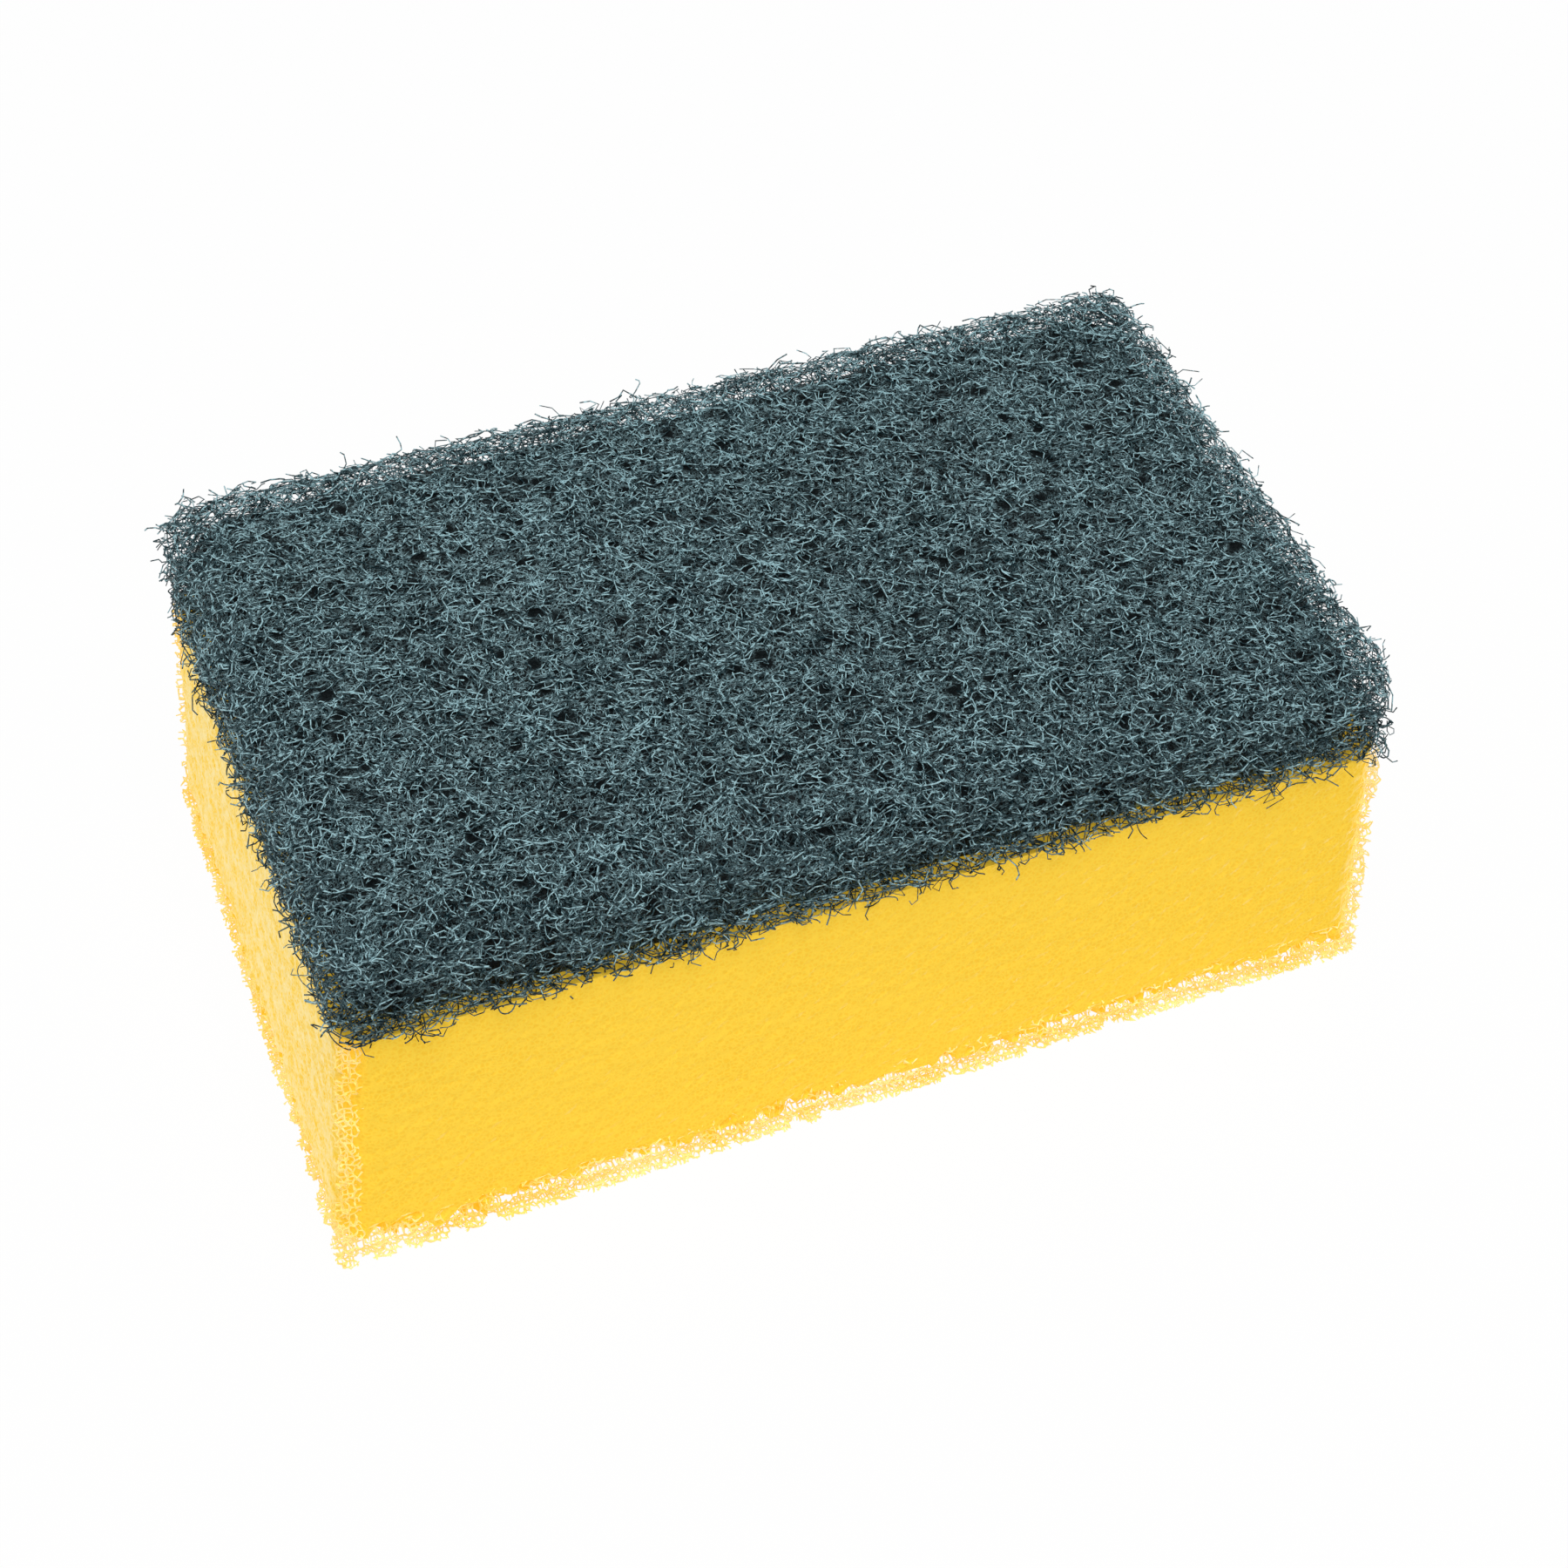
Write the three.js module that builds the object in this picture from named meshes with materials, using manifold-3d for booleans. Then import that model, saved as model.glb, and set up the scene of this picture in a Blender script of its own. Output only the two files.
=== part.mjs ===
// Sponge scourer: a block of open-cell foam with a thick web of curled nylon fibres bonded on top.
// Millimetres, +Z up, front towards -Y. The origin is the middle of the foam's flat base.

import * as THREE from "three";
import { mergeVertices } from "three/addons/utils/BufferGeometryUtils.js";
import { ImprovedNoise } from "three/addons/math/ImprovedNoise.js";
import Module from "manifold-3d";

const wasm = await Module();
wasm.setup();

// The cut block, measured where the foam and the web are bonded
const LENGTH = 98;
const WIDTH = 60;
const FOAM_HEIGHT = 27.5;
const WEB_THICKNESS = 10.5;

// The foam: how far each side of the base stands out past the bond at that side's two ends,
// how far the soft sides hollow in halfway up, and its upright corners, base edge and cut waves
const FLARE = {
  left: { front: 3.8, back: 3.1 },
  right: { front: 1.5, back: 1 },
  front: { left: 2.5, right: 0.7 },
  back: { left: 0.5, right: 0.5 },
};
const SIDE_HOLLOW = 0.3;
const FOAM_CORNER = 1.2;
const BASE_EDGE = 0.6;
const FOAM_WAVE = { height: 0.35, length: 13 };

// The web: how far its matted body lies inside the tips of its strands, its rounded top edge, how
// much it swells at the back left corner, the broad and fine lumps and the pits of the matted fibre,
// and the ragged hem, which lifts off the foam in places and is seated a little way in
const MAT_INSET = 1;
const WEB_EDGE = 3;
const WEB_SWELL = 0.1;
const LUMP = { height: 0.7, length: 7 };
const TANGLE = { height: 0.75, length: 2.9 };
const PIT = { depth: 3.2, length: 4.4, onset: 0.2 };
const HEM_LIFT = 1.7;
const HEM_WAVE = 4.5;
const HEM_SEAT = 2.2;

// Strands that stand out of the web: resin-coated bundles, rooted below the surface
const STRAND = { thickness: 0.4, sides: 3, steps: 5, root: 1.8, rise: 1.2, span: 4.2 };
const RIM_PITCH = 3.5;
const TOP_PITCH = 14;
const LOOSE_SHARE = 0.35;
const LOWEST_STRAND = 0.45;

// How finely each surface is divided, along the length, across the width and up
const FOAM_GRID = { across: 26, along: 16, up: 7 };
const WEB_GRID = { across: 45, along: 27, up: 5 };

const MAT = { length: LENGTH - 2 * MAT_INSET, width: WIDTH - 2 * MAT_INSET, height: WEB_THICKNESS - MAT_INSET };

const COLOURS = { foam: 0xfad040, web: 0x43606a };

const { clamp, lerp, seededRandom } = THREE.MathUtils;
const UP = new THREE.Vector3(0, 0, 1);
const perlin = new ImprovedNoise();

// Seeds keep one pattern of noise from repeating in another
const SEED = { foam: 3.7, lump: 11.3, tangle: 23.9, pit: 41.2, hem: 57.5, strands: 20 };

function noiseAt(point, length, seed) {
  return perlin.noise(point.x / length + seed, point.y / length + seed, point.z / length + seed);
}

// A point of a sharp box moved onto the box with rounded upright corners and a rounded top edge
function roundedPoint(point, halfLength, halfWidth, radius, top = Infinity) {
  const core = new THREE.Vector3(
    clamp(point.x, radius - halfLength, halfLength - radius),
    clamp(point.y, radius - halfWidth, halfWidth - radius),
    Math.min(point.z, top - radius),
  );
  const out = point.clone().sub(core);
  const reach = Math.max(Math.abs(out.x), Math.abs(out.y), Math.abs(out.z));
  const normal = reach > 0 ? out.normalize() : UP.clone();
  return { point: core.addScaledVector(normal, reach), normal };
}

// The sides of a unit box as a grid, with its top grid where asked, and no bottom
function openBox({ across, along, up }, withTop) {
  const box = new THREE.BoxGeometry(1, 1, 1, across, along, up);
  const [topFace, bottomFace] = [4, 5];
  const kept = box.groups.filter(
    (group) => group.materialIndex !== bottomFace && (withTop || group.materialIndex !== topFace),
  );
  const all = Array.from(box.index.array);
  box.setIndex(kept.flatMap(({ start, count }) => all.slice(start, start + count)));
  box.clearGroups();
  box.deleteAttribute("normal");
  box.deleteAttribute("uv");
  return mergeVertices(box);
}

// The vertices at one end of an open box, in order round it
function rimOf(positions, level) {
  const rim = [];
  for (let i = 0; i < positions.count; i++) {
    if (Math.abs(positions.getZ(i) - level) < 1e-6) rim.push(i);
  }
  const turn = (i) => Math.atan2(positions.getY(i), positions.getX(i));
  return rim.sort((a, b) => turn(a) - turn(b));
}

// Triangles that close a flat rim, facing up or down
function capOf(points, rim, facingUp) {
  const outline = rim.map((i) => new THREE.Vector2(points[i].x, points[i].y));
  const faces = THREE.ShapeUtils.triangulateShape(outline, []);
  return faces.flatMap(([a, b, c]) => (facingUp ? [rim[a], rim[b], rim[c]] : [rim[a], rim[c], rim[b]]));
}

function geometryOf(points, index) {
  const geometry = new THREE.BufferGeometry().setFromPoints(points);
  geometry.setIndex(index);
  return geometry;
}

// How far the middle of the bonded outline lies from the middle of the base
const BOND_CENTRE = {
  x: (FLARE.left.front - FLARE.right.front) / 2,
  y: (FLARE.front.left - FLARE.back.left) / 2,
};

// A point of the foam's side, from its place on a unit box
function foamPoint(unit) {
  const up = unit.z + 0.5;
  const sharp = new THREE.Vector3(unit.x * LENGTH, unit.y * WIDTH, 0);
  const { point, normal } = roundedPoint(sharp, LENGTH / 2, WIDTH / 2, FOAM_CORNER);
  point.z = up * FOAM_HEIGHT;
  const endSide = unit.x < 0 ? FLARE.left : FLARE.right;
  const longSide = unit.y < 0 ? FLARE.front : FLARE.back;
  const flareX = lerp(endSide.front, endSide.back, unit.y + 0.5);
  const flareY = lerp(longSide.left, longSide.right, unit.x + 0.5);
  const bond = point.clone();
  point.x *= 1 + ((1 - up) * flareX) / (LENGTH / 2);
  point.y *= 1 + ((1 - up) * flareY) / (WIDTH / 2);
  const belly = 4 * up * (1 - up);
  const wave = FOAM_WAVE.height * noiseAt(bond, FOAM_WAVE.length, SEED.foam);
  point.addScaledVector(normal, belly * (wave - SIDE_HOLLOW));
  if (up === 0) point.addScaledVector(normal, -BASE_EDGE);
  return point.add(new THREE.Vector3(BOND_CENTRE.x, BOND_CENTRE.y, 0));
}

// The foam block: flared, softly hollowed sides between a flat base and a flat bonded top
function foamGeometry() {
  const shell = openBox(FOAM_GRID, false);
  const unit = shell.attributes.position;
  const base = rimOf(unit, -0.5);
  const top = rimOf(unit, 0.5);
  const points = [];
  for (let i = 0; i < unit.count; i++) {
    points.push(foamPoint(new THREE.Vector3().fromBufferAttribute(unit, i)));
  }
  // The level above the base comes down to the height of the softened edge
  const firstLevel = -0.5 + 1 / FOAM_GRID.up;
  for (const i of rimOf(unit, firstLevel)) points[i].z = BASE_EDGE;
  const sides = Array.from(shell.index.array);
  return geometryOf(points, [...sides, ...capOf(points, base, false), ...capOf(points, top, true)]);
}

// A point of the web's surface, from its place on a unit box, with the way it faces
function webPoint(unit) {
  const sharp = new THREE.Vector3(unit.x * MAT.length, unit.y * MAT.width, (unit.z + 0.5) * MAT.height);
  const { point, normal } = roundedPoint(sharp, MAT.length / 2, MAT.width / 2, WEB_EDGE, MAT.height);
  const lump = LUMP.height * noiseAt(point, LUMP.length, SEED.lump);
  const tangle = TANGLE.height * noiseAt(point, TANGLE.length, SEED.tangle);
  const dip = Math.max(0, noiseAt(point, PIT.length, SEED.pit) - PIT.onset);
  point.addScaledVector(normal, lump + tangle - PIT.depth * dip);
  point.z *= 1 + WEB_SWELL * (0.5 - unit.x) * (0.5 + unit.y);
  return { point, normal };
}

// How far the hem stands above the foam at a point of the outline
function hemLift(point) {
  return HEM_LIFT * clamp(0.5 + noiseAt(point, HEM_WAVE, SEED.hem), 0, 1);
}

// The matted web: a lumpy top and sides, down to the ragged hem and back to a flat seat
function matGeometry() {
  const shell = openBox(WEB_GRID, true);
  const unit = shell.attributes.position;
  const hem = rimOf(unit, -0.5);
  const points = [];
  for (let i = 0; i < unit.count; i++) {
    points.push(webPoint(new THREE.Vector3().fromBufferAttribute(unit, i)).point);
  }
  for (const i of hem) points[i].z = hemLift(points[i]);
  const seat = hem.map((i) => {
    const [halfLength, halfWidth] = [MAT.length / 2 - HEM_SEAT, MAT.width / 2 - HEM_SEAT];
    const sharp = new THREE.Vector3(2 * unit.getX(i) * halfLength, 2 * unit.getY(i) * halfWidth, 0);
    return roundedPoint(sharp, halfLength, halfWidth, FOAM_CORNER).point;
  });
  const firstSeat = points.length;
  points.push(...seat);
  const underside = hem.flatMap((outer, k) => {
    const next = (k + 1) % hem.length;
    const [inner, innerNext] = [firstSeat + k, firstSeat + next];
    return [outer, inner, hem[next], hem[next], inner, innerNext];
  });
  const seatRim = seat.map((_, k) => firstSeat + k);
  const sides = Array.from(shell.index.array);
  return geometryOf(points, [...sides, ...underside, ...capOf(points, seatRim, false)]);
}

// One strand along a smooth curve through the given points
function strandGeometry(points) {
  const section = new THREE.Shape();
  for (let side = 0; side < STRAND.sides; side++) {
    const angle = (2 * Math.PI * side) / STRAND.sides;
    const corner = [(STRAND.thickness / 2) * Math.cos(angle), (STRAND.thickness / 2) * Math.sin(angle)];
    if (side === 0) section.moveTo(...corner);
    else section.lineTo(...corner);
  }
  const extrudePath = new THREE.CatmullRomCurve3(points);
  return new THREE.ExtrudeGeometry(section, { steps: STRAND.steps, extrudePath, bevelEnabled: false });
}

// The points of a strand that leaves the web at one place of the surface and ends at another,
// or ends in the air
function strandPath(unit, along, loose) {
  const start = webPoint(unit);
  const reach = new THREE.Vector3(along.x / MAT.length, along.y / MAT.width, along.z / MAT.height);
  const farUnit = unit.clone().addScaledVector(reach, STRAND.span);
  const farSide = Math.max(Math.abs(farUnit.x), Math.abs(farUnit.y));
  if (farSide > 0.5) farUnit.divideScalar(2 * farSide);
  farUnit.z = clamp(farUnit.z, LOWEST_STRAND - 0.5, 0.5);
  const end = webPoint(farUnit);
  const rise = STRAND.rise * lerp(0.6, 1, seededRandom());
  const middle = start.point.clone().lerp(end.point, 0.5);
  middle.addScaledVector(start.normal.clone().add(end.normal).normalize(), rise);
  const below = ({ point, normal }) => point.clone().addScaledVector(normal, -STRAND.root);
  const tip = end.point.clone().addScaledVector(end.normal, rise);
  const landing = loose ? [tip] : [end.point, below(end)];
  return [below(start), start.point, middle, ...landing];
}

// A place on the outline of a unit box, from how far round it lies
function rimPlace(distance) {
  const { length, width } = MAT;
  const halfway = length + width;
  const along = distance % halfway;
  const turn = distance % (2 * halfway) < halfway ? 1 : -1;
  const onLength = along < length;
  const place = onLength ? [along / length - 0.5, -0.5] : [0.5, (along - length) / width - 0.5];
  const way = onLength ? [1, 0] : [0, 1];
  return { place: place.map((value) => turn * value), way: way.map((value) => turn * value) };
}

// Strands all round the sides and the rounded edge
function rimStrands() {
  const count = Math.round((2 * (MAT.length + MAT.width)) / RIM_PITCH);
  return Array.from({ length: count }, (_, k) => {
    const { place, way } = rimPlace((k + 0.5 * seededRandom()) * RIM_PITCH);
    const height = lerp(LOWEST_STRAND, 1, Math.sqrt(seededRandom())) - 0.5;
    const climb = lerp(-0.6, 0.6, seededRandom());
    const along = new THREE.Vector3(way[0], way[1], climb);
    const unit = new THREE.Vector3(place[0], place[1], height);
    return strandGeometry(strandPath(unit, along, seededRandom() < LOOSE_SHARE));
  });
}

// Strands scattered over the top
function topStrands() {
  const [columns, rows] = [MAT.length, MAT.width].map((size) => Math.max(1, Math.round(size / TOP_PITCH)));
  return Array.from({ length: columns * rows }, (_, k) => {
    const x = ((k % columns) + lerp(0.2, 0.8, seededRandom())) / columns - 0.5;
    const y = (Math.floor(k / columns) + lerp(0.2, 0.8, seededRandom())) / rows - 0.5;
    const turn = 2 * Math.PI * seededRandom();
    const along = new THREE.Vector3(Math.cos(turn), Math.sin(turn), 0);
    return strandGeometry(strandPath(new THREE.Vector3(x, y, 0.5), along, false));
  });
}

// A closed geometry as a solid that can be joined to others, and back
function solidOf(geometry) {
  const bare = geometry.clone();
  bare.deleteAttribute("normal");
  bare.deleteAttribute("uv");
  const merged = mergeVertices(bare);
  const vertProperties = new Float32Array(merged.attributes.position.array);
  const triVerts = new Uint32Array(merged.index.array);
  return new wasm.Manifold(new wasm.Mesh({ numProp: 3, vertProperties, triVerts }));
}

function meshGeometryOf(solid) {
  const { vertProperties, triVerts } = solid.getMesh();
  const geometry = new THREE.BufferGeometry();
  geometry.setAttribute("position", new THREE.BufferAttribute(vertProperties, 3));
  geometry.setIndex(new THREE.BufferAttribute(triVerts, 1));
  geometry.computeVertexNormals();
  return geometry;
}

function webGeometry() {
  seededRandom(SEED.strands);
  const strands = [...rimStrands(), ...topStrands()].map(solidOf);
  const solid = strands.reduce((joined, strand) => joined.add(strand), solidOf(matGeometry()));
  return meshGeometryOf(solid);
}

function namedMesh(name, geometry, color, roughness) {
  const material = new THREE.MeshStandardMaterial({ color, roughness, metalness: 0 });
  const mesh = new THREE.Mesh(geometry, material);
  mesh.name = name;
  return mesh;
}

const foamBlock = namedMesh("foam_block", foamGeometry(), COLOURS.foam, 0.9);
const scouringWeb = namedMesh("scouring_web", webGeometry(), COLOURS.web, 0.6);
scouringWeb.position.set(BOND_CENTRE.x, BOND_CENTRE.y, FOAM_HEIGHT);

const spongeScourer = new THREE.Group();
spongeScourer.add(foamBlock, scouringWeb);

export default spongeScourer;
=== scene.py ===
"""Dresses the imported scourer: a yellow foam block under a thick web of curled nylon fibre."""

import itertools
import math

import bpy
import numpy as np
from mathutils import Matrix, Vector, noise


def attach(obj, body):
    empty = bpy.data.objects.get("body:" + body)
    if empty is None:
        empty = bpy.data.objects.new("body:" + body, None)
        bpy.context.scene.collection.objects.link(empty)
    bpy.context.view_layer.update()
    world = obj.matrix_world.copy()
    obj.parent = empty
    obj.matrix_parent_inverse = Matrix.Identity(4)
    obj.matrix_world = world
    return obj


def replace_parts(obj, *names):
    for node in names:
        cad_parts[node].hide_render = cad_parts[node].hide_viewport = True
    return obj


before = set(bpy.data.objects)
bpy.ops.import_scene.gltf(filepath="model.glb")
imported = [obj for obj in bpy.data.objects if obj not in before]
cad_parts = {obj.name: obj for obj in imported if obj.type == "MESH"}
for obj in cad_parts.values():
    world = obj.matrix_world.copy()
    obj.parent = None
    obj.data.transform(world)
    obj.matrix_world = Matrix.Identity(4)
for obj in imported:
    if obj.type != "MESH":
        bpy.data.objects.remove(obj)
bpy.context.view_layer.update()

bl_info = {
    "name": "Foam-backed scouring pad",
    "version": (1, 0, 0),
    "blender": (4, 5, 0),
    "location": "3D View > Sidebar > Scourer",
    "description": "Builds the foam, the nylon web and the studio round the packed scourer",
    "category": "Object",
}

MM = 0.001
BODY = "root"
FOAM_NODE, WEB_NODE = "foam_block", "scouring_web"
IMAGE_SIDE = 1800


# The block's outline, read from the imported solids


def node_points(node):
    """The vertices of a CAD node as an array."""
    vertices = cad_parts[node].data.vertices
    points = np.empty(len(vertices) * 3)
    vertices.foreach_get("co", points)
    return points.reshape(-1, 3)


def outline_corners(points, level):
    """The corners of an outline at one height, anticlockwise from the front left."""
    ring = points[abs(points[:, 2] - level) < 0.05 * MM][:, :2]
    corners = []
    for side_x, side_y in ((-1, -1), (1, -1), (1, 1), (-1, 1)):
        tip = ring[np.argmax(side_x * ring[:, 0] + side_y * ring[:, 1])]
        near = ring[np.linalg.norm(ring - tip, axis=1) < 5 * MM]
        corners.append((side_x * (side_x * near[:, 0]).max(), side_y * (side_y * near[:, 1]).max()))
    return np.array(corners)


FOAM_POINTS = node_points(FOAM_NODE)
FOAM_LEVELS = np.unique(FOAM_POINTS[:, 2].round(6))
BOND_HEIGHT = float(FOAM_LEVELS[-1])
BOND_CORNERS = outline_corners(FOAM_POINTS, BOND_HEIGHT)
BASE_CORNERS = outline_corners(FOAM_POINTS, FOAM_LEVELS[1])
BLOCK_LENGTH = float(BOND_CORNERS[1, 0] - BOND_CORNERS[0, 0])
BLOCK_WIDTH = float(BOND_CORNERS[2, 1] - BOND_CORNERS[1, 1])
BOND_CENTRE = BOND_CORNERS.mean(axis=0)


def corners_at(heights):
    """The foam's four corners at each of several heights."""
    share = np.clip(np.asarray(heights) / BOND_HEIGHT, 0, 1)[:, None, None]
    return BASE_CORNERS * (1 - share) + BOND_CORNERS * share


def side_depths(points):
    """How deep each point lies inside the foam's end sides and its long sides."""
    corners = corners_at(points[:, 2])
    following = np.roll(corners, -1, axis=1)
    along = following - corners
    along /= np.linalg.norm(along, axis=2, keepdims=True)
    inward = np.stack([-along[:, :, 1], along[:, :, 0]], axis=2)
    depth = ((points[:, None, :2] - corners) * inward).sum(axis=2)
    return np.minimum(depth[:, 1], depth[:, 3]), np.minimum(depth[:, 0], depth[:, 2])


def outside_by(points, inset, radius):
    """How far each point lies outside the foam's outline, drawn in by inset with rounded corners."""
    ends, longs = side_depths(points)
    reach_x, reach_y = radius + inset - ends, radius + inset - longs
    corner = np.hypot(np.maximum(reach_x, 0), np.maximum(reach_y, 0))
    return corner + np.minimum(np.maximum(reach_x, reach_y), 0) - radius


# Sizes and colours that a user would change


def number_property(name, description, default, **settings):
    return bpy.props.FloatProperty(name=name, description=description, default=default, **settings)


def length_property(name, description, default):
    return number_property(name, description, default, precision=5, unit="LENGTH", subtype="DISTANCE")


def angle_property(name, description, degrees):
    """An angle written in degrees."""
    return number_property(name, description, math.radians(degrees), unit="ROTATION")


def colour_property(name, description, red, green, blue):
    """A colour written as the red, green and blue of a screen, from 0 to 255."""
    linear = [((c / 255 + 0.055) / 1.055) ** 2.4 if c > 10 else c / 255 / 12.92 for c in (red, green, blue)]
    return bpy.props.FloatVectorProperty(
        name=name, description=description, default=linear, size=3, min=0, max=1, subtype="COLOR"
    )


class FoamLooks(bpy.types.PropertyGroup):
    """The foam's cells, its lacy cut edges and its colours."""

    cell: length_property("Cell", "Width of one foam cell", 1.4 * MM)
    strut: length_property("Strut", "Thickness of a strut between cells", 0.2 * MM)
    lace_height: length_property("Lace height", "How high the see-through edge reaches", 3.4 * MM)
    lace_depth: length_property("Lace depth", "How far in the see-through edge reaches at the base", 3.6 * MM)
    lace_shell: length_property("Lace shell", "How thick the layer of open cells is", 1.7 * MM)
    edge_radius: length_property("Edge radius", "Radius of the solid foam under the upright edges", 3.4 * MM)
    grid: length_property("Grid", "Spacing of the skin's vertices", 0.6 * MM)
    pit_depth: length_property("Pit depth", "Depth of the cut cells in the skin", 0.25 * MM)
    wall_colour: colour_property("Wall colour", "Cut cell walls", 252, 210, 66)
    # Painted shade: the cell bottoms are coloured darker than the walls, standing for the shade in them.
    cell_shade_colour: colour_property("Cell colour", "Shaded cell bottoms", 246, 198, 52)
    # Painted light: pale struts as if lit from behind, also used for the painted sheen on the skin at a
    # glancing view.
    painted_light_colour: colour_property("Lace colour", "Single struts with light behind", 249, 229, 162)


class WebLooks(bpy.types.PropertyGroup):
    """The nylon web's fibres, its rounded edges and its colours."""

    fibre: length_property("Fibre", "Thickness of a coated fibre", 0.13 * MM)
    run: length_property("Run", "Length that a fibre covers before it is curled", 4.4 * MM)
    curl: length_property("Curl", "Radius of a fibre's curls", 0.45 * MM)
    curl_pitch: length_property("Curl pitch", "Distance from one curl to the next", 2.3 * MM)
    wander: length_property("Wander", "How far a fibre strays from its line", 0.9 * MM)
    edge_radius: length_property("Edge radius", "Radius of the web's rounded top edge", 3 * MM)
    core_inset: length_property("Core inset", "How far the dense core lies below the web's top", 0.7 * MM)
    side_inset: length_property("Side inset", "How far the dense core lies inside the web's sides", 1.6 * MM)
    hem_inset: length_property("Hem inset", "How far in the dense core starts at the hem", 1.9 * MM)
    hem_rag: length_property("Hem rag", "How unevenly the hem ends", 1.4 * MM)
    pit_spacing: length_property("Pit spacing", "Distance between the web's open pits", 3.6 * MM)
    pit_radius: length_property("Pit radius", "Radius of an open pit", 0.75 * MM)
    swell: number_property("Swell", "Extra thickness at the back left", 0.1)
    # Painted highlights: the glints on the fibres, and the lines on the core, are painted in this colour.
    painted_glint_colour: colour_property("Light colour", "Glints on the fibres", 176, 216, 224)
    dark_colour: colour_property("Dark colour", "The fibres between the glints", 9, 42, 50)
    # Painted shade: the core is coloured darker than the fibres, standing for the shade between them.
    core_shade_colour: colour_property("Core colour", "The dark between the fibres", 3, 14, 17)


class StudioSetup(bpy.types.PropertyGroup):
    """The camera of the photograph and the light."""

    azimuth: angle_property("Azimuth", "Camera's turn round the block", -21.553)
    elevation: angle_property("Elevation", "Camera's height", 46.758)
    roll: angle_property("Roll", "Camera's tilt", 0.785)
    distance: length_property("Distance", "From the camera to the plane of the origin", 309.305 * MM)
    aim_right: length_property("Aim right", "How far right of the origin the camera aims", 2.772 * MM)
    aim_up: length_property("Aim up", "How far above the origin the camera aims", 9.055 * MM)
    focal_pixels: number_property("Focal length", "In pixels of the photograph", 3593.2)
    key_power: number_property("Key", "Power of the soft lamp, in watts", 4.3)
    room_light: number_property("Room light", "Strength of the white room", 0.29)


# Node trees


class Wiring:
    """Adds nodes to one tree, each linked or set as it is made."""

    def __init__(self, tree):
        self.tree = tree

    def feed(self, socket, value):
        if isinstance(value, bpy.types.NodeSocket):
            self.tree.links.new(value, socket)
        elif value is not None:
            socket.default_value = value

    def add(self, kind, *values, named=None, **settings):
        node = self.tree.nodes.new(kind)
        for name, value in settings.items():
            setattr(node, name, value)
        for socket, value in zip(node.inputs, values):
            self.feed(socket, value)
        for name, value in (named or {}).items():
            self.feed(node.inputs[name], value)
        return node

    def math(self, operation, *values):
        return self.add("ShaderNodeMath", *values, operation=operation).outputs[0]

    def times(self, value, factor):
        return self.math("MULTIPLY", value, factor)

    def minus(self, value, less):
        return self.math("SUBTRACT", value, less)

    def vector(self, operation, *values):
        node = self.add("ShaderNodeVectorMath", *values, operation=operation)
        return node.outputs["Value" if operation in ("LENGTH", "DOT_PRODUCT", "DISTANCE") else "Vector"]

    def scaled(self, vector, factor):
        return self.add("ShaderNodeVectorMath", vector, operation="SCALE", named={"Scale": factor}).outputs[0]

    def mapped(self, value, low, high, new_low, new_high, **settings):
        return self.add("ShaderNodeMapRange", value, low, high, new_low, new_high, **settings).outputs[0]

    def parts(self, vector):
        return self.add("ShaderNodeSeparateXYZ", vector).outputs[:3]

    def joined(self, x, y, z):
        return self.add("ShaderNodeCombineXYZ", x, y, z).outputs[0]

    def random(self, low, high, seed, of=None):
        """A random number for each element, or for each value of an ID."""
        named = {"ID": of, "Seed": seed}
        node = self.add("FunctionNodeRandomValue", data_type="FLOAT", named=named)
        self.feed(node.inputs[2], low)
        self.feed(node.inputs[3], high)
        return node.outputs[1]

    def place(self):
        """The shaded point in the object's own space."""
        return self.add("ShaderNodeTexCoord").outputs["Object"]

    def copies(self, points, shape, rotation, scale):
        """One copy of the shape at each point."""
        named = {"Instance": shape, "Rotation": rotation, "Scale": scale}
        return self.add("GeometryNodeInstanceOnPoints", points, named=named).outputs[0]

    def group(self, tree, **named):
        return self.add("ShaderNodeGroup", node_tree=tree, named=named).outputs

    def noise(self, place, length, detail):
        """A noise texture whose waves are about one length long."""
        named = {"Vector": place, "Scale": 1 / length, "Detail": detail}
        return self.add("ShaderNodeTexNoise", named=named).outputs[0]


def new_tree(name, kind, inputs, outputs):
    """A node tree with named inputs and outputs, and the wiring and group input that go with it."""
    tree = bpy.data.node_groups.new(name, kind)
    for way, sockets in (("INPUT", inputs), ("OUTPUT", outputs)):
        for label, socket in sockets.items():
            tree.interface.new_socket(label, in_out=way, socket_type=socket)
    wiring = Wiring(tree)
    return wiring, wiring.add("NodeGroupInput").outputs


def geometry_tree(name, sockets):
    return new_tree(name, "GeometryNodeTree", {"Geometry": GEOMETRY, **sockets}, {"Geometry": GEOMETRY})


def close_tree(wiring, geometry, material):
    """Ends a geometry tree: real geometry with its material."""
    real = wiring.add("GeometryNodeRealizeInstances", geometry).outputs[0]
    dressed = wiring.add("GeometryNodeSetMaterial", real, named={"Material": material}).outputs[0]
    wiring.add("NodeGroupOutput", dressed)
    return wiring.tree


def grown(obj, tree, values):
    """The object with the tree's result as its own plain mesh."""
    modifier = obj.modifiers.new(tree.name, "NODES")
    modifier.node_group = tree
    for item in tree.interface.items_tree:
        if item.in_out == "INPUT" and item.name in values:
            modifier[item.identifier] = values[item.name]
    evaluated = obj.evaluated_get(bpy.context.evaluated_depsgraph_get())
    mesh = bpy.data.meshes.new_from_object(evaluated)
    obj.modifiers.clear()
    obj.data = mesh
    return obj


# The hem: length of its waves, the noise at its mean height and the gain on it, and how much of its
# depth below the hem a fibre keeps
HEM_WAVE = 4 * MM
HEM_MEAN, HEM_GAIN = 0.45, 4
HEM_SQUEEZE = 0.15

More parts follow.
